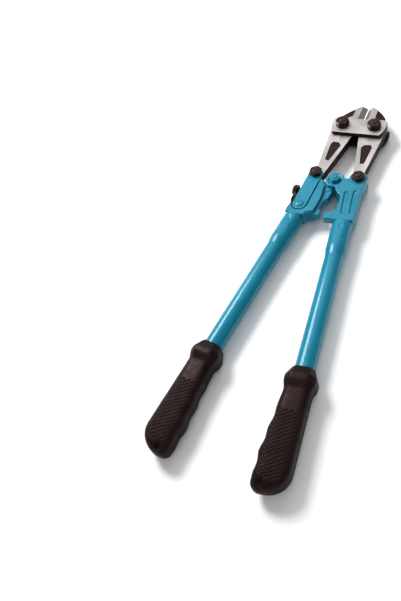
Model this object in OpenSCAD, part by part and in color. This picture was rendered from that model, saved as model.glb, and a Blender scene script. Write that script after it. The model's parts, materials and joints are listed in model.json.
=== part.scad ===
// Compound-lever bolt cutters, lying on their back with the jaws towards +Y.
// The handle pieces are drawn in a handle frame: the centre pivot is its origin,
// the tube runs towards -Y and +X points away from the other handle.

/* [Jaw bolts and side plates] */
// Distance between the two jaw bolts
bolt_spacing = 47.4; // [42:0.2:56]
// Radius of the jaw bolts
jaw_bolt_r = 5; // [4:0.25:6]
// Thickness of the front side plate
front_plate_t = 6; // [4:0.5:7.5]
// Thickness of the rear side plate
rear_plate_t = 4; // [3:0.5:5]
// Reach of the side plates ahead of the jaw bolts
plate_front = 15; // [12:0.5:17]
// Reach of the front side plate behind the jaw bolts
plate_back = 16.7; // [14:0.1:20]
// Radius of the front side plate's rounded ends
plate_end_r = 40.5; // [39.5:0.5:43]
// Radius of the rear side plate's rounded ends
rear_plate_end_r = 43.5; // [42:0.5:48]

/* [Jaws] */
// Thickness of a forged jaw
jaw_t = 13; // [11:0.5:15]
// Distance from the jaw bolts to the blade tips
tip_reach = 52; // [46:1:60]
// Gap between the two cutting edges at rest
edge_gap = 1.5; // [1.2:0.1:2.4]
// Width of the bevel beside a cutting edge
bevel_w = 7; // [5:0.5:9]
// Distance from the jaw bolts back to the tail bolts
tail_reach = 102.7; // [90:0.1:125]
// Width of a jaw's tail beside its pocket
tail_w = 16; // [14.5:0.5:18]
// Depth of the black forged pockets
pocket_depth = 1.2; // [0.6:0.1:2]

/* [Pivots] */
// Radius of the tail bolts
tail_bolt_r = 5; // [4:0.25:5.5]
// Radius of the centre pivot bolt
pivot_bolt_r = 4; // [3.5:0.25:5]
// Outward distance from the centre pivot to a tail bolt
link_out = 31.7; // [30:0.1:38]
// Forward distance from the centre pivot to a tail bolt
link_fwd = 4.5; // [3:0.1:6]
// Angle of each handle to the centre line at rest
handle_angle = 6.5; // [4:0.1:9]

/* [Castings] */
// Thickness of the handle castings
casting_t = 22; // [20:0.5:24]
// Radius of the ears around the centre pivot
hub_r = 13.3; // [12:0.1:14]
// Radius of the fork around the right tail bolt
fork_r = 12.5; // [11.5:0.1:13.5]
// Distance from the centre pivot back to the tube mouths
tube_start = 74; // [70:0.5:80]
// Distance from the centre pivot back to the stop lugs
lug_back = 61; // [58:0.5:63]
// Thickness of the stop lugs and the web between them and the pivot
lug_t = 11; // [8:0.5:12.5]
// Thickness of an adjusting strap
strap_t = 3.8; // [3:0.1:4.5]
// Half the width of an adjusting strap
strap_r = 10; // [9:0.25:10.5]
// Radius of the strap rivet
rivet_r = 4; // [3:0.25:4.5]
// Radius of the adjusting screws
screw_r = 4; // [3:0.25:4]

/* [Handles] */
// Outside diameter of the handle tubes
tube_d = 25; // [22:0.5:28]
// Wall thickness of the handle tubes
tube_wall = 2; // [1.2:0.1:3]
// Diameter of the swaged end of a tube
swage_d = 28; // [25:0.5:29]
// Length of the swaged end
swage_l = 45; // [30:1:60]
// Length of visible tube between casting and grip
tube_l = 228; // [150:1:320]
// Outward offset of the right tube from the centre pivot
right_tube_out = 24.6; // [23.5:0.1:27]
// Outward offset of the left tube from the centre pivot
left_tube_out = 28.4; // [27:0.1:30]

/* [Grips] */
// Length of a grip
grip_l = 151.7; // [130:0.1:180]
// Radius of the grip's flared collar
collar_r = 19.2; // [17.5:0.1:19.4]
// Reach of the grip's outer side from the tube axis
grip_out = 15.9; // [15:0.1:18]
// Reach of the grip's inner side from the tube axis at its belly
grip_in = 25.5; // [20:0.1:30]
// Half the grip's thickness at its neck
grip_half_t = 15.4; // [14.6:0.1:17]
// How far the grip's end hooks towards the other handle
hook = 14.7; // [8:0.1:18]
// Spacing of the finger waves
wave_pitch = 28; // [20:0.5:34]

/* [Fits] */
// Radial clearance of a turning fit
running_fit = 0.05; // [0.02:0.01:0.09]
// Gap between faces that slide past each other
face_gap = 0.3; // [0.2:0.05:0.4]
// Radial play of the centre pivot in the tongue
pivot_play = 2.3; // [2.2:0.1:3]

/* [Hidden] */
$fn = 64;

// Stack of pieces along Z, measured from the middle of the jaws
jaw_half = jaw_t / 2;
inner_face = jaw_half + face_gap;
plate_top = inner_face + front_plate_t;
plate_bottom = inner_face + rear_plate_t;
strap_top = inner_face + strap_t;
casting_half = casting_t / 2;
jaw_washer_t = 1.6;
jaw_nut_h = 7.4;
jaw_head_h = 8.7;
small_nut_h = 6;
small_head_h = 6.6;
thread_out = 1.5;
jaw_nut_af = 17;
small_nut_af = 16;
pivot_nut_af = 13;
pivot_seat_r = 9.4;
pivot_seat_depth = 1.2;
mid_height = plate_bottom + jaw_head_h;

// Places of the pivots in the plan view
jaw_bolt_x = bolt_spacing / 2;
tail_x = link_out * cos(handle_angle) - link_fwd * sin(handle_angle);
pivot_y = -tail_reach - link_out * sin(handle_angle) - link_fwd * cos(handle_angle);
link_end = [link_out, link_fwd];
tail_end_r = tail_bolt_r + 3.6;
tongue_r = hub_r - 1.5;
lug_corner_r = 3.3;
pivot_room = pivot_play + 0.6;

// Left casting and its straps
rivet_at = [28.2, -55.6];
upper_screw_y = -25.6;
lower_screw_y = -43.5;
strap_gap = 1.6;
screw_head_af = 14;
screw_head_h = 6.5;
upper_screw_out = 6;
lower_screw_out = 0.4;

// Handle lengths along the tube
taper_l = 12;
stub_l = 40;
tube_r = tube_d / 2;
swage_r = swage_d / 2;
bore_r = tube_r - tube_wall;
grip_start = tube_start + tube_l;
tube_in_grip = 92;
grip_end = grip_start + grip_l;

// The origin is under the middle of the whole tool
back_y = pivot_y - grip_end * cos(handle_angle) + (right_tube_out - hook) * sin(handle_angle);
centre_y = (tip_reach + back_y) / 2;

blue = "#0e86ae";
steel = "#b8b0ae";
black = "#2b1f21";
rubber = "#231a1a";

// Points of an arc about c, from angle a to angle b
function arc(c, r, a, b, steps = 12) =
    [for (i = [0:steps]) let (t = a + (b - a) * i / steps) c + r * [cos(t), sin(t)]];

// Points of an arc from p to q that bulges to the left of the line by s
function bulge(p, q, s, steps = 14) =
    let (chord = norm(q - p), r = (chord * chord / 4 + s * s) / (2 * s),
         along = (q - p) / chord, left = [-along[1], along[0]],
         half = asin(chord / 2 / r))
    [for (i = [0:steps]) let (t = -half + 2 * half * i / steps)
        (p + q) / 2 + along * r * sin(t) + left * (r * cos(t) - (r - s))];

module at_origin() {
    translate([0, -centre_y, mid_height]) children();
}

// Puts a right-handed jaw piece on the given side: 1 is right, -1 is left
module jaw_side(side) {
    at_origin() mirror([side < 0 ? 1 : 0, 0, 0]) children();
}

// Puts a piece drawn in the handle frame on the given side
module handle_side(side) {
    at_origin() mirror([side < 0 ? 1 : 0, 0, 0])
        translate([0, pivot_y, 0]) rotate(handle_angle) children();
}

module slab(z0, z1) {
    translate([0, 0, z0]) linear_extrude(z1 - z0) children();
}

module capsule(p, q, r) {
    d = (q - p) / norm(q - p);
    n = [-d[1], d[0]] * r;
    translate(p) circle(r);
    translate(q) circle(r);
    polygon([p + n, p - n, q - n, q + n]);
}

module hex(af, h) {
    intersection() {
        cylinder(d = af / cos(30), h = h, $fn = 6);
        rotate_extrude() polygon([
            [0, 0], [af / 2 / cos(30) + 1, 0], [af / 2 / cos(30) + 1, h - af * 0.09],
            [af / 2 * 0.95, h], [0, h]
        ]);
    }
}

// A nut on a thread, standing on z = 0
module nut(af, h, r) {
    difference() {
        hex(af, h);
        translate([0, 0, -1]) cylinder(r = r, h = h + 2);
    }
}

// A bolt with its hex head below z0 and its domed end above z1
module bolt(r, af, head_h, z0, z1) {
    translate([0, 0, z0]) mirror([0, 0, 1]) hex(af, head_h);
    translate([0, 0, z0]) cylinder(r = r, h = z1 - z0);
    translate([0, 0, z1]) rotate_extrude() polygon([
        [0, 0], [r, 0], [r * 0.93, thread_out * 0.45], [r * 0.7, thread_out * 0.85], [0, thread_out]
    ]);
}

// ---- Side plates ----

module plate_outline(back_y, front_y, end_r, end_y) {
    intersection() {
        translate([-60, -back_y]) square([120, back_y + front_y]);
        translate([0, end_y]) circle(end_r, $fn = 128);
    }
}

module jaw_bolt_holes(z0, z1) {
    for (side = [-1, 1])
        translate([side * jaw_bolt_x, 0, z0 - 1]) cylinder(r = jaw_bolt_r, h = z1 - z0 + 2);
}

module front_side_plate() {
    color(steel) at_origin() difference() {
        slab(inner_face, plate_top) plate_outline(plate_back, plate_front, plate_end_r, 4);
        jaw_bolt_holes(inner_face, plate_top);
    }
}

module rear_side_plate() {
    color(black) at_origin() difference() {
        slab(-plate_bottom, -inner_face)
            plate_outline(plate_back + 3.5, plate_front, rear_plate_end_r, 2);
        jaw_bolt_holes(-plate_bottom, -inner_face);
    }
}

// ---- Jaws ----

shoulder = [jaw_bolt_x + 16.6, 8];
tail_in = [tail_x - 10.8, -tail_reach + 10];
tail_out = tail_in + [tail_w - 1.4, 6];

module jaw_outline() {
    polygon(concat(
        [[edge_gap / 2, 6], [edge_gap / 2, tip_reach]],
        bulge([edge_gap / 2 + bevel_w, tip_reach - 1.6], shoulder, 6),
        [[shoulder[0] - 0.3, -10], tail_out],
        arc([tail_x, -tail_reach], tail_end_r, 10, -190, 24),
        [tail_in, [jaw_bolt_x - 17.7, -21], [2.6, -5]]
    ));
}

// Pocket in the tail: a tapered hexagon that follows the tail's two edges
module tail_pocket() {
    polygon([[jaw_bolt_x - 8.4, -38], [jaw_bolt_x - 4.7, -32.3], [jaw_bolt_x + 4.3, -31.5],
             [jaw_bolt_x + 7, -36.5], [tail_out[0] - 6, -tail_reach + 33],
             [tail_in[0] + 2.8, -tail_reach + 31.5]]);
}

// Recess in the outer part of the blade, open to the jaw's outer edge
module blade_pocket() {
    polygon([[16.3, 70], [17, 28.5], [18.8, 26], [23.5, 23], [70, 26], [70, 70]]);
}

module jaw() {
    difference() {
        slab(-jaw_half, jaw_half) jaw_outline();
        translate([jaw_bolt_x, 0, -20]) cylinder(r = jaw_bolt_r + running_fit, h = 40);
        translate([tail_x, -tail_reach, -20]) cylinder(r = tail_bolt_r + running_fit, h = 40);
        for (face = [-1, 1]) {
            z = face > 0 ? jaw_half - pocket_depth : -jaw_half - 1;
            slab(z, z + pocket_depth + 1) {
                tail_pocket();
                blade_pocket();
            }
            // The bevel from the cutting edge up to the flat face
            translate([0, 6, 0]) mirror([0, 0, face < 0 ? 1 : 0]) rotate([-90, 0, 0])
                linear_extrude(80) polygon([
                    [-1, -0.25], [edge_gap / 2, -0.25], [edge_gap / 2 + bevel_w, -jaw_half],
                    [edge_gap / 2 + bevel_w, -jaw_half - 1], [-1, -jaw_half - 1]
                ]);
        }
    }
}

module right_jaw() { color(steel) jaw_side(1) jaw(); }
module left_jaw() { color(steel) jaw_side(-1) jaw(); }

module jaw_bolt(side) {
    color(black) at_origin() translate([side * jaw_bolt_x, 0, 0])
        bolt(jaw_bolt_r, jaw_nut_af, jaw_head_h, -plate_bottom, plate_top + jaw_washer_t + jaw_nut_h);
}

module jaw_nut(side) {
    color(black) at_origin()
        translate([side * jaw_bolt_x, 0, plate_top + jaw_washer_t]) rotate(12)
            nut(jaw_nut_af, jaw_nut_h, jaw_bolt_r);
}

module jaw_washer(side) {
    color(black) at_origin() translate([side * jaw_bolt_x, 0, plate_top]) difference() {
        cylinder(r = jaw_nut_af / 2 + 1.2, h = jaw_washer_t);
        translate([0, 0, -1]) cylinder(r = jaw_bolt_r, h = 4);
    }
}

module right_jaw_bolt() { jaw_bolt(1); }
module left_jaw_bolt() { jaw_bolt(-1); }
module right_jaw_nut() { jaw_nut(1); }
module left_jaw_nut() { jaw_nut(-1); }
module right_jaw_washer() { jaw_washer(1); }
module left_jaw_washer() { jaw_washer(-1); }

// ---- Right handle casting ----

module stub(out) {
    translate([out, -tube_start + 2, 0]) rotate([90, 0, 0]) cylinder(r = bore_r, h = stub_l);
}

module right_outline() {
    out_in = right_tube_out - swage_r;
    out_out = right_tube_out + swage_r;
    circle(hub_r);
    translate(link_end) circle(fork_r);
    polygon(concat(
        [[2, 3.2], [link_out - 7, 3.2], [link_out + fork_r, 0]],
        bulge([link_out + fork_r - 1, -4], [out_out + 1.2, -28], -1.2, 6),
        [[out_out + 1, -tube_start + 9], [out_out - 0.6, -tube_start],
         [out_in + 0.6, -tube_start], [out_in + 1.8, -lug_back - 6.5], [out_in + 3, -36]],
        bulge([out_in + 2, -29], [hub_r * 0.2, -hub_r + 0.5], 1.6, 6)
    ));
}

// The thin stop lug beside the tube
module right_lug() {
    out_in = right_tube_out - swage_r;
    polygon(concat(
        [[out_in + 9, -lug_back + 22], [out_in + 2, -lug_back + 16]],
        bulge([out_in + 1.6, -lug_back + 16], [2, -lug_back + 5.5], 3, 8),
        arc([-0.4, -lug_back + 2.2], lug_corner_r, 95, 180, 5),
        arc([-0.4, -lug_back - 3.4], lug_corner_r, 180, 265, 5),
        [[out_in + 3, -lug_back - 7.4], [out_in + 9, -lug_back - 7.4]]
    ));
}

module groove(p, q) {
    depth = 1.6;
    for (z = [casting_half - depth, -casting_half - 1])
        slab(z, z + depth + 1) capsule(p, q, 2.7);
}

module right_handle_casting() {
    color(blue) handle_side(1) {
        difference() {
            union() {
                slab(-casting_half, casting_half) right_outline();
                slab(-lug_t / 2, lug_t / 2) right_lug();
            }
            // Slot for the jaw's tail and for the other casting's tongue
            slab(-inner_face, inner_face) {
                translate(link_end) circle(tail_end_r + 1);
                circle(tongue_r + pivot_room);
                polygon([[0, -hub_r + 4], [link_out - 7, link_fwd - 6], [link_out + 6.7, link_fwd - 7.2],
                         [link_out + 24, link_fwd + 9.5], [link_out + 24, 30], [0, 30]]);
                translate([-30, -20]) square([30, 50]);
            }
            translate([link_out, link_fwd, -20]) cylinder(r = tail_bolt_r, h = 40);
            translate([0, 0, -20]) cylinder(r = pivot_bolt_r, h = 40);
            for (z = [casting_half - pivot_seat_depth, -casting_half - 1])
                translate([0, 0, z]) cylinder(r = pivot_seat_r, h = pivot_seat_depth + 1);
            groove([right_tube_out - 3.8, -24.5], [right_tube_out - 2.2, -lug_back + 2]);
            groove([right_tube_out + 8, -22], [right_tube_out + 8.8, -lug_back + 2]);
        }
        stub(right_tube_out);
    }
}

// ---- Left handle casting and its adjusting straps ----

module strap_outline(r) {
    capsule(link_end, rivet_at, r);
}

module left_outline() {
    out_in = left_tube_out - swage_r;
    out_out = left_tube_out + swage_r;
    polygon(concat(
        [[12, -4.5], [24, -4.5], [28, -30], [37, -52], [out_out - 1, -58], [out_out - 0.4, -66],
         [out_out - 0.6, -tube_start], [out_in + 0.6, -tube_start], [out_in - 2, -lug_back - 6]],
        bulge([4.4, -lug_back - 1.5], [5.1, -33], 0.8, 6),
        [[8.5, -19.5], [8.5, -8]]
    ));
}

// The thin web from the pivot down to the left stop lug
module left_lug() {
    polygon(concat(
        [[12, -9], [-1, -10.5], [-3.8, -20.8]],
        bulge([-3, -32], [0.4, -40], 0.8, 4),
        [[0.4, -lug_back + 9.5]],
        arc([-0.2, -lug_back + 3.4], lug_corner_r, 130, 180, 4),
        arc([-0.2, -lug_back - 0.4], lug_corner_r, 180, 258, 5),
        [[9.9, -lug_back - 6.2], [20, -lug_back - 6.2], [20, -20]]
    ));
}

// The middle layer that the straps clasp and the screws go into
module web_outline() {
    polygon([[4, -14], [19, -9.5], [24, -10], [33, -15.5], [37, -20], [37, -62], [18, -62]]);
}

module screw_axis(y) {
    translate([0, y, 0]) rotate([0, 90, 0]) children();
}

screw_tip_x = 21;
screw_travel = 7;

// Where a screw's head starts: a given way outside the straps' edge beside it
function screw_head_x(y, out) =
    let (rise = link_fwd - rivet_at[1], top = y + screw_head_af / 2 / cos(30))
    rivet_at[0] + (link_out - rivet_at[0]) * (top - rivet_at[1]) / rise
        + strap_r * norm(link_end - rivet_at) / rise + out;

module left_handle_casting() {
    color(blue) handle_side(-1) {
        difference() {
            union() {
                difference() {
                    slab(-casting_half, casting_half) left_outline();
                    for (z = [inner_face, -casting_half - 1])
                        slab(z, z + casting_half - inner_face + 1) {
                            strap_outline(strap_r + strap_gap);
                            circle(hub_r + pivot_room);
                            polygon([rivet_at, link_end, link_end + [40, 0], rivet_at + [40, 0]]);
                        }
                }
                slab(-inner_face, inner_face) web_outline();
                slab(-lug_t / 2, lug_t / 2) left_lug();
                slab(-jaw_half, jaw_half) {
                    circle(tongue_r);
                    polygon([[-4, -8], [10, -6], [14, -12], [14, -20], [1, -20]]);
                }
            }
            // Room for the jaw's tail to turn about the tail bolt
            slab(-inner_face, inner_face) translate(link_end) circle(tail_end_r + 1);
            for (z = [jaw_half, -jaw_half - 2]) slab(z, z + 2) circle(hub_r + pivot_room);
            translate([0, 0, -20]) cylinder(r = pivot_bolt_r + pivot_play, h = 40);
            translate([rivet_at[0], rivet_at[1], -20]) cylinder(r = rivet_r, h = 40);
            for (y = [upper_screw_y, lower_screw_y])
                screw_axis(y) translate([0, 0, screw_tip_x - screw_travel])
                    cylinder(r = screw_r + running_fit, h = 40);
        }
        stub(left_tube_out);
    }
}

module adjusting_strap(z0) {
    color(blue) handle_side(-1) difference() {
        slab(z0, z0 + strap_t) strap_outline(strap_r);
        translate([link_out, link_fwd, z0 - 1]) cylinder(r = tail_bolt_r, h = strap_t + 2);
        translate([rivet_at[0], rivet_at[1], z0 - 1]) cylinder(r = rivet_r, h = strap_t + 2);
    }
}

module front_adjusting_strap() { adjusting_strap(inner_face); }
module rear_adjusting_strap() { adjusting_strap(-strap_top); }

module strap_rivet() {
    head = [[0, 0], [rivet_r + 2.2, 0], [rivet_r + 1.9, 0.9], [rivet_r, 1.6], [0, 1.9]];
    color(blue) handle_side(-1) translate([rivet_at[0], rivet_at[1], 0]) {
        cylinder(r = rivet_r, h = 2 * strap_top, center = true);
        for (side = [0, 1]) mirror([0, 0, side])
            translate([0, 0, strap_top]) rotate_extrude() polygon(head);
    }
}

module adjusting_screw(y, out) {
    head_x = screw_head_x(y, out);
    color(black) handle_side(-1) screw_axis(y) {
        translate([0, 0, screw_tip_x]) cylinder(r = screw_r, h = head_x - screw_tip_x);
        translate([0, 0, head_x]) rotate(8) hex(screw_head_af, screw_head_h);
    }
}

module upper_adjusting_screw() { adjusting_screw(upper_screw_y, upper_screw_out); }
module lower_adjusting_screw() { adjusting_screw(lower_screw_y, lower_screw_out); }

// ---- Tail bolts and centre pivot ----

module tail_bolt(side, face) {
    color(black) handle_side(side) translate([link_out, link_fwd, 0])
        bolt(tail_bolt_r, small_nut_af, small_head_h, -face, face + small_nut_h);
}

module tail_nut(side, face) {
    color(black) handle_side(side) translate([link_out, link_fwd, face]) rotate(20)
        nut(small_nut_af, small_nut_h, tail_bolt_r);
}

module right_tail_bolt() { tail_bolt(1, casting_half); }
module left_tail_bolt() { tail_bolt(-1, strap_top); }
module right_tail_nut() { tail_nut(1, casting_half); }
module left_tail_nut() { tail_nut(-1, strap_top); }

module centre_pivot_bolt() {
    seat = casting_half - pivot_seat_depth;
    color(black) handle_side(1)
        bolt(pivot_bolt_r, pivot_nut_af, small_head_h, -seat, seat + small_nut_h);
}

module centre_pivot_nut() {
    color(blue) handle_side(1) translate([0, 0, casting_half - pivot_seat_depth]) rotate(10)
        nut(pivot_nut_af, small_nut_h, pivot_bolt_r);
}

// ---- Handle tubes ----

module handle_tube(side, out) {
    end = grip_start + tube_in_grip;
    color(blue) handle_side(side) translate([out, 0, 0]) rotate([90, 0, 0]) rotate_extrude()
        polygon([[bore_r, tube_start], [swage_r, tube_start], [swage_r, tube_start + swage_l],
                 [tube_r, tube_start + swage_l + taper_l], [tube_r, end], [bore_r, end]]);
}

module right_handle_tube() { handle_tube(1, right_tube_out); }
module left_handle_tube() { handle_tube(-1, left_tube_out); }

// ---- Grips ----

// Blends from a to b while s goes from s0 to s1
function ease(s, s0, s1, a, b) =
    let (t = max(0, min(1, (s - s0) / (s1 - s0)))) a + (b - a) * t * t * (3 - 2 * t);

// Quarter-round fall from 1 to 0 over the last part of the grip
function rounding(s, over) = let (t = max(0, (s - grip_l + over) / over)) sqrt(max(0, 1 - t * t));

mouth_r = tube_r + 1.5;
collar_s = 12;
neck_s = 30;
belly_s = 108;
first_crest = 51;
wave_count = floor((grip_l - first_crest - 16) / wave_pitch);
wave_depth = 1.5;

// Offset of a side from the tube axis: the collar's flare, then the given neck
function collared(s, neck) = s < collar_s
    ? mouth_r + (collar_r - mouth_r) * s / collar_s : ease(s, collar_s + 5, neck_s, collar_r, neck);
function belly(s) = grip_out + 1.1
    + (grip_in - grip_out - 1.1) * max(0, min(1, (s - neck_s) / (belly_s - neck_s)));
function wave(s) = s > first_crest && s < first_crest + wave_count * wave_pitch
    ? wave_depth / 2 * (1 - cos(360 * (s - first_crest) / wave_pitch)) : 0;
function outer_side(s) = (collared(s, grip_out) + hook) * rounding(s, 29.7) - hook;
function inner_side(s) =
    ((s < neck_s ? collared(s, grip_out + 1.1) : belly(s) - wave(s)) - hook) * rounding(s, 9.2) + hook;
function grip_thick(s) =
    (collared(s, grip_half_t) + ease(s, 60, 105, 0, 1)) * max(0.12, rounding(s, 21.7));

grip_sides = 30;
grip_steps = 44;
corner_power = 0.74;
function corner(v) = sign(v) * pow(abs(v), corner_power);

function grip_ring(s) =
    let (centre = (outer_side(s) - inner_side(s)) / 2,
         half = max(1, (outer_side(s) + inner_side(s)) / 2))
    [for (i = [0:grip_sides - 1]) let (t = 360 * i / grip_sides)
        [centre + half * corner(cos(t)), -s, grip_thick(s) * corner(sin(t))]];

module grip_solid() {
    // Even steps along the handle, closing up towards the rounded end
    stations = [for (i = [0:grip_steps]) let (t = i / grip_steps)
        grip_l * (t < 0.75 ? t / 0.75 * 0.83 : 0.83 + 0.17 * sin(90 * (t - 0.75) / 0.25))];
    n = grip_sides;
    last = len(stations) - 1;
    polyhedron(
        points = [for (s = stations) each grip_ring(s)],
        faces = concat(
            [[for (i = [0:n - 1]) i]],
            [for (j = [0:last - 1], i = [0:n - 1])
                let (a = j * n + i, b = j * n + (i + 1) % n) [a, a + n, b + n, b]],
            [[for (i = [n - 1:-1:0]) last * n + i]]
        )
    );
}

module grip(side, out) {
    color(rubber) handle_side(side) translate([out, -grip_start, 0]) difference() {
        grip_solid();
        translate([0, 1, 0]) rotate([90, 0, 0]) cylinder(r = tube_r, h = tube_in_grip + 1);
    }
}

module right_grip() { grip(1, right_tube_out); }
module left_grip() { grip(-1, left_tube_out); }

front_side_plate();
rear_side_plate();
right_jaw();
left_jaw();
right_jaw_bolt();
left_jaw_bolt();
right_jaw_nut();
left_jaw_nut();
right_jaw_washer();
left_jaw_washer();
right_handle_casting();
left_handle_casting();
right_handle_tube();
left_handle_tube();
right_grip();
left_grip();
front_adjusting_strap();
rear_adjusting_strap();
strap_rivet();
upper_adjusting_screw();
lower_adjusting_screw();
right_tail_bolt();
left_tail_bolt();
right_tail_nut();
left_tail_nut();
centre_pivot_bolt();
centre_pivot_nut();
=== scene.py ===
import json
import math

import bmesh
import bpy
import numpy as np
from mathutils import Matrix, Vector


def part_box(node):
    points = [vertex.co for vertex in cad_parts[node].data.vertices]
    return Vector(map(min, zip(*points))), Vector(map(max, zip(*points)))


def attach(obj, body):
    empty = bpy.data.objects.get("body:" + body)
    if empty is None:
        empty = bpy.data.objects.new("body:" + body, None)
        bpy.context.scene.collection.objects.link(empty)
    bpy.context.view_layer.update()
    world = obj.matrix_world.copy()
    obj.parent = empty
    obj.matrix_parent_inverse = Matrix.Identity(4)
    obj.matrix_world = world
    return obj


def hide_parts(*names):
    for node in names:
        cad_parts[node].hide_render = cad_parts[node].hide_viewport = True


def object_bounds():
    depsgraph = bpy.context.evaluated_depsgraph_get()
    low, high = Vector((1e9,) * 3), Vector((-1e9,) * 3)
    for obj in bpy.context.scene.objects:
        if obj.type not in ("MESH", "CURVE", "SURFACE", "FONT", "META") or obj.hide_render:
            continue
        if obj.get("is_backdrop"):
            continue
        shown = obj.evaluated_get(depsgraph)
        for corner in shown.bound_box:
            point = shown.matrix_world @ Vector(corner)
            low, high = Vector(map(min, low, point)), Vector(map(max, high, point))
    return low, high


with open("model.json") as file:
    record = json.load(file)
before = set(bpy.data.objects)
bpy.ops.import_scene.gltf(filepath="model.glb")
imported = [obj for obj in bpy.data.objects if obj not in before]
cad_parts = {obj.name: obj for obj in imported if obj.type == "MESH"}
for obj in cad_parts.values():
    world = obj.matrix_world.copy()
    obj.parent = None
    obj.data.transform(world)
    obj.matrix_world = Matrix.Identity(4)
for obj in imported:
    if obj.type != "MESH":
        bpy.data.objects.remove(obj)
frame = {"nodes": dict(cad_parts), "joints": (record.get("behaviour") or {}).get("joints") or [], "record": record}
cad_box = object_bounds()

MM = 0.001
WELD = 2e-6                             # metres within which vertices are one
HANDLE_ANGLE = math.radians(6.5)        # lean of each handle at rest
JAW_HALF = 6.5                          # half the thickness of a jaw

# Tube, in mm: s runs down the handle from the centre pivot
TUBE_OUT = {1: 24.6, -1: 28.4}          # offset of each tube's axis from the centre pivot
TUBE_START, TUBE_L, TUBE_IN_GRIP = 74.0, 228.0, 92.0
SWAGE_L, TAPER_L = 45.0, 12.0
TUBE_R, SWAGE_R, BORE_R = 12.5, 14.0, 10.5
# Each crimp: distance from the tube's mouth, angle round it, half length, half width, depth
CRIMPS = ((13, 90, 4.5, 2.6, 1.0), (13, -90, 4.5, 2.6, 1.0),
          (30, 55, 3.2, 2.4, 0.5), (24, 125, 3.0, 2.2, 0.4))

# Grip, in mm: s runs down the handle from the grip's mouth
GRIP_START, GRIP_L = TUBE_START + TUBE_L, 151.7
GRIP_END_L = 23.7                       # length of the rounded end
HOOK = 14.7                             # how far the end leans towards the other handle
MOUTH_R, COLLAR_R, COLLAR_L = 14.0, 19.2, 12.0
NECK_S = (17, 30)                       # where the collar falls to the neck
NECK_OUT, NECK_IN, NECK_THICK = 15.9, 17.0, 15.4
BELLY, BELLY_L = 8.5, 78                # how far the belly swells, and over what length
WAVE_S, WAVE_PITCH, WAVE_DEPTH = (51, 135), 28, 0.75
PANEL_S, KNURL_ANGLES, KNURL_PITCH, KNURL_SHARP = (56, 140), (58, -52), 4.3, 2.5
RIB_S, RIB_PITCH, RIB_DEPTH = (27, 50), 3.6, 1.3
DIMPLE_S, DIMPLE_R, DIMPLE_DEPTH, DIMPLE_OFF = 143, 4.2, 3.6, 14.5
SEAM_WIDTH, SEAM_DEPTH = 0.35, 0.25

WARM = (1.0, 0.70, 0.66, 1)             # tint of the gloss on browned steel and rubber

joints = {j["name"]: j for j in frame["joints"]}
body_of = {n: b for b, ns in frame["record"]["behaviour"]["bodies"].items() for n in ns}
MID = joints["right_jaw_pivot"]["pos_m"][2]
low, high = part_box("centre_pivot_nut")
PIVOT = (low + high) / 2


def to_row(side, points):
    """Points of a handle frame, in mm, as points of the row frame, in metres."""
    x, y, z = (points[..., i] * MM for i in range(3))
    c, s = math.cos(HANDLE_ANGLE), math.sin(HANDLE_ANGLE)
    return np.stack([side * (x * c - y * s), PIVOT.y + x * s + y * c, MID + z], -1)


# ---- Materials ----

class Nodes:
    """A short way to write a procedural material."""

    def __init__(self, name):
        self.material = bpy.data.materials.new(name)
        self.material.use_nodes = True
        self.tree = self.material.node_tree
        self.shader = self.tree.nodes["Principled BSDF"]
        self.place = self.tree.nodes.new("ShaderNodeTexCoord").outputs["Object"]

    def add(self, kind, **inputs):
        node = self.tree.nodes.new(kind)
        for key, value in inputs.items():
            self.put(node.inputs[key], value)
        return node

    def put(self, socket, value):
        if isinstance(value, bpy.types.NodeSocket):
            self.tree.links.new(value, socket)
        else:
            socket.default_value = value

    def set(self, **inputs):
        for key, value in inputs.items():
            self.put(self.shader.inputs[key.replace("_", " ")], value)

    def noise(self, scale, detail=3.0, rough=0.55, stretch=(1, 1, 1)):
        where = self.add("ShaderNodeMapping", Vector=self.place)
        where.inputs["Scale"].default_value = stretch
        return self.add("ShaderNodeTexNoise", Vector=where.outputs[0], Scale=scale,
                        Detail=detail, Roughness=rough).outputs["Fac"]

    def ramp(self, fac, *stops):
        node = self.add("ShaderNodeValToRGB", Fac=fac)
        ramp = node.color_ramp
        while len(ramp.elements) < len(stops):
            ramp.elements.new(0.5)
        for element, (at, value) in zip(ramp.elements, stops):
            element.position = at
            element.color = (*value, 1) if isinstance(value, tuple) else (value,) * 3 + (1,)
        return node.outputs["Color"]

    def mix(self, fac, a, b, blend="MIX"):
        node = self.tree.nodes.new("ShaderNodeMix")
        node.data_type = "RGBA"
        node.blend_type = blend
        for socket, value in zip((node.inputs[0], node.inputs[6], node.inputs[7]), (fac, a, b)):
            self.put(socket, (*value, 1) if isinstance(value, tuple) else value)
        return node.outputs[2]

    def bump(self, *layers):
        """Layers of (height socket, depth in metres), coarse to fine."""
        normal = None
        for height, depth in layers:
            node = self.add("ShaderNodeBump", Height=height, Strength=1.0, Distance=depth)
            if normal is not None:
                self.put(node.inputs["Normal"], normal)
            normal = node.outputs[0]
        self.put(self.shader.inputs["Normal"], normal)


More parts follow.
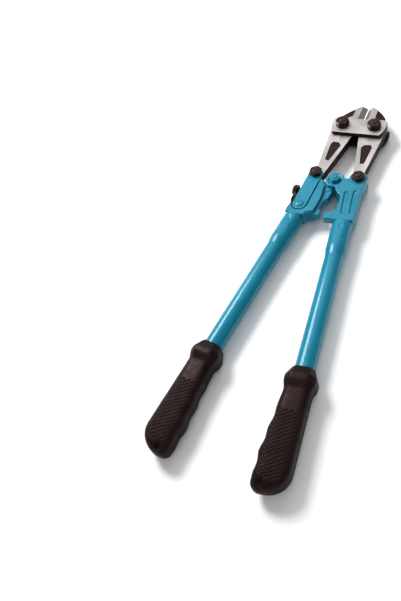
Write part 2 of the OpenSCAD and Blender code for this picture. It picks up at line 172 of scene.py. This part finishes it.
def blue_paint(cast):
    m = Nodes("blue_cast_paint" if cast else "blue_tube_paint")
    shade = m.ramp(m.noise(45 if cast else 22, 4),
                   (0.30, (0.0008, 0.140, 0.225)), (0.72, (0.0014, 0.190, 0.290)))
    if cast:
        # Painted shade: the colour is darkened in concave hollows, where shade falls.
        edge = m.tree.nodes.new("ShaderNodeNewGeometry").outputs["Pointiness"]
        painted_hollow_shade = m.ramp(edge, (0.44, 0.30), (0.495, 1.0))
        shade = m.mix(0.8, shade, painted_hollow_shade, "MULTIPLY")
        # Painted highlight: convex edges are lightened to a brighter blue.
        shade = m.mix(m.ramp(edge, (0.53, 0.0), (0.62, 0.35)), shade, (0.010, 0.240, 0.370))
    dirt = m.ramp(m.noise(210, 5), (0.60, 0.0), (0.80, 0.20))
    m.set(Base_Color=m.mix(dirt, shade, (0.001, 0.060, 0.110)),
          Roughness=m.ramp(m.noise(120, 3), (0.3, 0.28), (0.7, 0.46)),
          Coat_Weight=0.30, Coat_Roughness=0.12, Specular_IOR_Level=0.28,
          Specular_Tint=(0.35, 0.85, 1.0, 1))
    if cast:
        m.bump((m.noise(90, 3), 0.00090), (m.noise(420, 3), 0.00025), (m.noise(1500, 2), 0.00005))
    else:
        m.bump((m.noise(70, 2), 0.00020), (m.noise(900, 3), 0.00004))
    return m.material


def brushed(name, stretch, tint=(0.43, 0.400, 0.392)):
    """Bare steel with fine lines along the narrow axis of the stretch."""
    m = Nodes(name)
    dark = tuple(v * 0.62 for v in tint)
    lines = m.noise(900, 3, 0.6, stretch)
    coarse = m.noise(260, 2, 0.5, stretch)
    cloud = m.noise(38, 3)
    shade = m.mix(m.ramp(lines, (0.32, 0.0), (0.68, 1.0)), dark, tint)
    shade = m.mix(m.ramp(cloud, (0.35, 0.0), (0.75, 0.45)), shade, tuple(v * 1.22 for v in tint))
    rust = m.ramp(m.noise(420, 5), (0.66, 0.0), (0.80, 0.5))
    m.set(Base_Color=m.mix(rust, shade, (0.20, 0.15, 0.135)), Metallic=0.85,
          Roughness=m.ramp(coarse, (0.25, 0.34), (0.75, 0.52)), Anisotropic=0.35)
    m.bump((cloud, 0.00010), (coarse, 0.00006), (lines, 0.00004))
    return m.material


def forged_black():
    m = Nodes("forged_black_steel")
    shade = m.ramp(m.noise(130, 5), (0.28, (0.0060, 0.0034, 0.0036)), (0.78, (0.0190, 0.0112, 0.0112)))
    speck = m.ramp(m.noise(900, 3), (0.62, 0.0), (0.74, 0.55))
    m.set(Base_Color=m.mix(speck, shade, (0.040, 0.026, 0.025)), Metallic=0.1,
          Roughness=m.ramp(m.noise(300, 3), (0.3, 0.42), (0.7, 0.66)), Specular_IOR_Level=0.16,
          Specular_Tint=WARM)
    m.bump((m.noise(240, 4), 0.00035), (m.noise(1100, 3), 0.00012))
    return m.material


def black_oxide():
    m = Nodes("black_oxide_fasteners")
    shade = m.ramp(m.noise(180, 4), (0.30, (0.0080, 0.0046, 0.0044)), (0.75, (0.0260, 0.0155, 0.0145)))
    edge = m.tree.nodes.new("ShaderNodeNewGeometry").outputs["Pointiness"]
    # Painted highlight: convex edges are lightened to a dark-brown sheen.
    shade = m.mix(m.ramp(edge, (0.52, 0.0), (0.60, 0.65)), shade, (0.085, 0.055, 0.050))
    m.set(Base_Color=shade, Metallic=0.45, Specular_IOR_Level=0.3, Specular_Tint=WARM,
          Roughness=m.ramp(m.noise(420, 3), (0.3, 0.26), (0.7, 0.46)))
    m.bump((m.noise(260, 3), 0.00022), (m.noise(1300, 3), 0.00006))
    return m.material


def grip_rubber():
    m = Nodes("grip_rubber")
    shade = m.ramp(m.noise(60, 4),
                   (0.30, (0.0062, 0.0031, 0.0030)), (0.75, (0.0118, 0.0058, 0.0054)))
    dust = m.ramp(m.noise(700, 4), (0.60, 0.0), (0.82, 0.35))
    m.set(Base_Color=m.mix(dust, shade, (0.024, 0.0145, 0.0135)),
          Specular_IOR_Level=0.12, Specular_Tint=WARM,
          Roughness=m.ramp(m.noise(150, 3), (0.3, 0.40), (0.7, 0.56)))
    m.bump((m.noise(300, 3), 0.00008), (m.noise(1600, 2), 0.00006))
    return m.material


CAST, TUBE = blue_paint(True), blue_paint(False)
FLAT = brushed("brushed_flat_steel", (3.0, 0.12, 1))
PLATE = brushed("brushed_plate_steel", (0.10, 3.0, 1), (0.47, 0.440, 0.435))
BEVEL = brushed("ground_bevel_steel", (0.12, 3.0, 1), (0.38, 0.345, 0.335))
FORGED, OXIDE, RUBBER = forged_black(), black_oxide(), grip_rubber()


# ---- Pieces made from the CAD nodes ----

def new_piece(name, mesh, node, materials, smooth_angle=None):
    piece = bpy.data.objects.new(name, mesh)
    bpy.context.scene.collection.objects.link(piece)
    for material in materials:
        mesh.materials.append(material)
    mesh.shade_smooth()
    if smooth_angle:
        mesh.set_sharp_from_angle(angle=math.radians(smooth_angle))
    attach(piece, body_of[node])
    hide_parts(node)
    return piece


def finished(node, name, materials, face_material=None, width=0.35, skip=None):
    """A copy of a machined or forged node with its sharp edges broken, each face in its material."""
    mesh = bpy.data.meshes.new(name)
    bm = bmesh.new()
    bm.from_mesh(frame["nodes"][node].data)
    bmesh.ops.remove_doubles(bm, verts=bm.verts, dist=WELD)
    for face in bm.faces:
        face.material_index = face_material(face) if face_material else 0
        face.smooth = True
    bmesh.ops.dissolve_limit(bm, angle_limit=math.radians(0.4), verts=bm.verts, edges=bm.edges,
                             delimit={"MATERIAL"})
    edges = [e for e in bm.edges if len(e.link_faces) == 2 and e.calc_face_angle() > math.radians(28)
             and not (skip and skip((e.verts[0].co + e.verts[1].co) / 2))]
    bmesh.ops.bevel(bm, geom=edges, offset=width * MM, segments=2, profile=0.5, affect="EDGES",
                    clamp_overlap=True, material=-1)
    bmesh.ops.triangulate(bm, faces=[f for f in bm.faces if len(f.verts) > 4])
    bm.to_mesh(mesh)
    bm.free()
    piece = new_piece(name, mesh, node, materials, 40)
    piece.modifiers.new("even_shading", "WEIGHTED_NORMAL").keep_sharp = True
    return piece


def cast(node, name, voxel, rounds):
    """A copy of a cast node with its edges rounded all over, as thick paint on a casting leaves them."""
    source = bpy.data.objects.new("source", frame["nodes"][node].data.copy())
    bpy.context.scene.collection.objects.link(source)
    weld = source.modifiers.new("weld", "WELD")
    weld.merge_threshold = WELD
    remesh = source.modifiers.new("remesh", "REMESH")
    remesh.mode = "VOXEL"
    remesh.voxel_size = voxel * MM
    soften = source.modifiers.new("soften", "SMOOTH")
    soften.factor = 0.5
    soften.iterations = rounds
    shown = source.evaluated_get(bpy.context.evaluated_depsgraph_get())
    mesh = bpy.data.meshes.new_from_object(shown)
    bpy.data.objects.remove(source)
    mesh.materials.clear()
    return new_piece(name, mesh, node, [CAST])


def jaw_face(face):
    """Ground flats, ground bevels, and forged black for the rest."""
    n, z = face.normal, face.calc_center_median().z - MID
    if abs(n.z) > 0.99 and abs(z) > (JAW_HALF - 0.1) * MM:
        return 0
    return 1 if 0.5 < abs(n.z) < 0.95 else 2


for side in ("right", "left"):
    finished(f"{side}_jaw", f"{side}_jaw_forging", [FLAT, BEVEL, FORGED], jaw_face, 0.45,
             lambda at: abs(at.x) < 1.2 * MM)
finished("front_side_plate", "front_plate", [PLATE, FORGED],
         lambda f: 0 if f.normal.z > 0.9 else 1, 0.5)
finished("rear_side_plate", "rear_plate", [FORGED], None, 0.5)
for node in body_of:
    if node.endswith(("_bolt", "_jaw_nut", "_tail_nut", "_washer")):
        painted_end = node == "centre_pivot_bolt"
        finished(node, node + "_oxide", [OXIDE, CAST],
                 lambda f: int(painted_end and f.calc_center_median().z > MID), 0.3)
finished("centre_pivot_nut", "centre_pivot_nut_painted", [CAST], None, 0.5)
finished("strap_rivet", "strap_rivet_painted", [CAST], None, 0.5)
for node in ("upper_adjusting_screw", "lower_adjusting_screw"):
    finished(node, node + "_oxide", [OXIDE], None, 0.3)
for node in ("right_handle_casting", "left_handle_casting"):
    cast(node, node.replace("casting", "forging"), 0.6, 7)
for node in ("front_adjusting_strap", "rear_adjusting_strap"):
    cast(node, node.replace("strap", "link"), 0.5, 4)


# ---- Handle tubes and grips ----

def grid_mesh(name, rings, cap_first=True, cap_last=True):
    """A closed skin over rings of points, one ring after another."""
    count, around = rings.shape[:2]
    faces = []
    for j in range(count - 1):
        for i in range(around):
            k = (i + 1) % around
            faces.append((j * around + i, (j + 1) * around + i, (j + 1) * around + k, j * around + k))
    points = rings.reshape(-1, 3).tolist()
    for wanted, ring, order in ((cap_first, 0, 1), (cap_last, count - 1, -1)):
        if wanted:
            centre = len(points)
            points.append(rings[ring].mean(0).tolist())
            for i in range(around):
                a, b = ring * around + i, ring * around + (i + 1) % around
                faces.append((centre, a, b)[::order])
    mesh = bpy.data.meshes.new(name)
    mesh.from_pydata(points, [], faces)
    mesh.validate()
    bm = bmesh.new()
    bm.from_mesh(mesh)
    bmesh.ops.recalc_face_normals(bm, faces=bm.faces)
    bm.to_mesh(mesh)
    bm.free()
    return mesh


def ease(s, s0, s1):
    """A smooth step from 0 at s0 to 1 at s1."""
    t = np.clip((s - s0) / (s1 - s0), 0, 1)
    return t * t * (3 - 2 * t)


def tube(side, name, node):
    """The swaged tube: flared mouth, crimp marks near the casting, hollow to its end in the grip."""
    out, around = TUBE_OUT[side], 112
    end = GRIP_START + TUBE_IN_GRIP
    s = np.concatenate([[TUBE_START], TUBE_START + np.array([0.15, 0.5, 1.0]),
                        np.linspace(TUBE_START + 2, TUBE_START + SWAGE_L + TAPER_L + 4, 90),
                        np.linspace(TUBE_START + SWAGE_L + TAPER_L + 8, end, 60)])
    swage_end = TUBE_START + SWAGE_L
    r = SWAGE_R - (SWAGE_R - TUBE_R) * ease(s, swage_end - 2, swage_end + TAPER_L + 2)
    r = r - 0.8 * (1 - ease(s, TUBE_START, TUBE_START + 1.0))
    t = np.linspace(0, 2 * math.pi, around, endpoint=False)
    radius = np.repeat(r[:, None], around, 1)
    for at, angle, long, wide, deep in CRIMPS:
        turn = (t - math.radians(angle) + math.pi) % (2 * math.pi) - math.pi
        spread = ((s - TUBE_START - at) / long)[:, None] ** 4 + (turn * SWAGE_R / wide)[None] ** 4
        radius -= deep * np.exp(-spread)
    outer = np.stack([out + radius * np.cos(t), np.repeat(-s[:, None], around, 1), radius * np.sin(t)], -1)
    back = s[[-1, len(s) // 2, 0]]
    bore = np.stack([out + BORE_R * np.cos(t) + 0 * back[:, None], -back[:, None] + 0 * t,
                     BORE_R * np.sin(t) + 0 * back[:, None]], -1)
    rings = np.concatenate([outer, bore, outer[:1]])
    return new_piece(name, grid_mesh(name, to_row(side, rings), False, False), node, [TUBE])


def rounding(s, over):
    """A quarter ellipse that closes the grip over its last stretch."""
    t = np.clip((s - GRIP_L + over) / over, 0, 1)
    return np.sqrt(1 - t * t)


def collared(s, neck):
    """The flared collar at the grip's mouth, falling to the neck."""
    flare = MOUTH_R + (COLLAR_R - MOUTH_R) * np.clip(s / COLLAR_L, 0, 1)
    return np.where(s < COLLAR_L, flare, COLLAR_R + (neck - COLLAR_R) * ease(s, *NECK_S))


def grip(side, name, node):
    """The moulded grip: faceted collar, flank ribs, finger waves, knurled panels and a hanging dimple."""
    around = 208
    s = np.concatenate([np.linspace(0, GRIP_L - GRIP_END_L, 330),
                        GRIP_L - GRIP_END_L * np.cos(np.linspace(0, math.pi / 2, 46))[1:]])
    t = np.linspace(0, 2 * math.pi, around, endpoint=False)
    outer = (collared(s, NECK_OUT) + HOOK) * rounding(s, 29.7) - HOOK
    wave = WAVE_DEPTH * (1 - np.cos(2 * math.pi * (s - WAVE_S[0]) / WAVE_PITCH))
    wave = np.where((s > WAVE_S[0]) & (s < WAVE_S[1]), wave, 0)
    belly = NECK_IN + BELLY * np.clip((s - NECK_S[1]) / BELLY_L, 0, 1) - wave
    inner = (np.where(s < NECK_S[1], collared(s, NECK_IN), belly) - HOOK) * rounding(s, 9.2) + HOOK
    thick = (collared(s, NECK_THICK) + ease(s, 60, 105)) * np.maximum(0.12, rounding(s, 21.7))
    centre, half = (outer - inner) / 2, np.maximum(0.6, (outer + inner) / 2)
    # Rounded octagon: flat front, flanks and chamfers, with softer corners along the belly
    power = (26 - 12 * ease(s, 14, 40))[:, None]
    facet = (1.12 + 0.03 * ease(s, 14, 40))[:, None]
    c, n = np.abs(np.cos(t)), np.abs(np.sin(t))
    diagonal = (np.abs(np.cos(t - math.pi / 4)), np.abs(np.cos(t + math.pi / 4)))
    reach = (c ** power + n ** power + (diagonal[0] / facet) ** power
             + (diagonal[1] / facet) ** power) ** (-1 / power)
    x, z = reach * np.cos(t), reach * np.sin(t)
    across = x * half[:, None]
    # Depth of the moulded detail below the plain skin
    along = s[:, None] + 0 * across
    front = ease(np.abs(z), 0.86, 0.95)
    panel = front * ease(along, PANEL_S[0], PANEL_S[0] + 2)
    panel = panel * (1 - ease(along, PANEL_S[1] - 2, PANEL_S[1]))
    panel = panel * (1 - ease(np.abs(across + 0.6), half[:, None] * 0.60, half[:, None] * 0.66))

    def groove(angle):
        a = math.radians(angle)
        phase = (across * math.cos(a) + along * math.sin(a)) / KNURL_PITCH
        return np.maximum(0, np.cos(2 * math.pi * phase)) ** KNURL_SHARP

    depth = panel * np.maximum(*(groove(angle) for angle in KNURL_ANGLES))
    rim = np.exp(-((np.abs(across + 0.6) - half[:, None] * 0.68) / 0.7) ** 2)
    depth += 0.35 * rim * front * ease(along, 54, 58) * (1 - ease(along, 137, 141))
    flank = ease(np.abs(x), 0.66, 0.80)
    flank = flank * ease(along, RIB_S[0], RIB_S[0] + 1) * (1 - ease(along, RIB_S[1] - 1, RIB_S[1]))
    ribs = np.maximum(0, np.cos(2 * math.pi * (along - RIB_S[0]) / RIB_PITCH)) ** 1.5
    depth += RIB_DEPTH * flank * ribs
    dimple = (across + centre[:, None] + DIMPLE_OFF) ** 2 + (along - DIMPLE_S) ** 2
    depth += DIMPLE_DEPTH * np.exp(-(dimple / DIMPLE_R ** 2) ** 3) * ease(np.abs(z), 0.45, 0.6)
    seam = np.exp(-((z * thick[:, None]) / SEAM_WIDTH) ** 2)
    depth += SEAM_DEPTH * seam * ease(along, 18, 22)
    length = np.sqrt((x * half[:, None]) ** 2 + (z * thick[:, None]) ** 2)
    shrink = 1 - np.minimum(depth / np.maximum(length, 1), 0.5)
    px = TUBE_OUT[side] + centre[:, None] + across * shrink
    pz = z * thick[:, None] * shrink
    rings = np.stack([px, -(GRIP_START + along), pz], -1)
    # The mouth turns in to the tube and the socket runs down beside it
    socket_r = TUBE_R + 0.02
    lip = np.stack([TUBE_OUT[side] + socket_r * np.cos(t), 0 * t - GRIP_START - 0.4,
                    socket_r * np.sin(t)], -1)
    deep = lip - np.array([0, TUBE_IN_GRIP, 0])
    rings = np.concatenate([deep[None], lip[None], rings])
    return new_piece(name, grid_mesh(name, to_row(side, rings)), node, [RUBBER])


for side, label in ((1, "right"), (-1, "left")):
    tube(side, f"{label}_tube", f"{label}_handle_tube")
    grip(side, f"{label}_moulded_grip", f"{label}_grip")


# ---- Stage: pale floor, soft light, camera ----

def stage_floor():
    m = Nodes("pale_floor")
    tone = m.ramp(m.noise(3, 3), (0.3, 0.94), (0.7, 0.96))
    m.set(Base_Color=tone, Roughness=0.85, Specular_IOR_Level=0.1)
    mesh = bpy.data.meshes.new("floor")
    half = 3.0
    corners = [(-half, -half, 0), (half, -half, 0), (half, half, 0), (-half, half, 0)]
    mesh.from_pydata(corners, [], [(0, 1, 2, 3)])
    mesh.materials.append(m.material)
    floor = bpy.data.objects.new("floor", mesh)
    bpy.context.scene.collection.objects.link(floor)
    floor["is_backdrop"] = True


def area_light(name, at, aim, size, power):
    data = bpy.data.lights.new(name, "AREA")
    data.shape, data.size, data.energy = "DISK", size, power
    lamp = bpy.data.objects.new(name, data)
    bpy.context.scene.collection.objects.link(lamp)
    lamp.location = at
    lamp.rotation_euler = (Vector(aim) - Vector(at)).to_track_quat("-Z", "Y").to_euler()


stage_floor()
area_light("key", (-0.9, 0.45, 1.15), (0, 0, 0), 0.75, 31)
area_light("fill", (0.7, -0.9, 1.5), (0, 0, 0), 1.6, 5)
area_light("top", (-0.1, 1.1, 1.4), (0, 0.1, 0), 1.2, 6)

world = bpy.data.worlds.new("studio")
world.use_nodes = True
background = world.node_tree.nodes["Background"]
background.inputs["Color"].default_value = (1, 1, 1, 1)
background.inputs["Strength"].default_value = 0.36
bpy.context.scene.world = world
bpy.context.scene.view_settings.view_transform = "Standard"

lens = bpy.data.cameras.new("camera")
lens.lens = 38.36
lens.clip_start = 0.01
camera = bpy.data.objects.new("camera", lens)
camera.location = (0.26269, -0.4764, 0.67972)
camera.rotation_euler = (0.6379, 0.25737, 0.43717)
bpy.context.scene.collection.objects.link(camera)
bpy.context.scene.camera = camera


def plain(value):
    return [plain(v) for v in value] if hasattr(value, "__len__") else float(value)


{"cad": plain(cad_box), "visual": plain(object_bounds())}
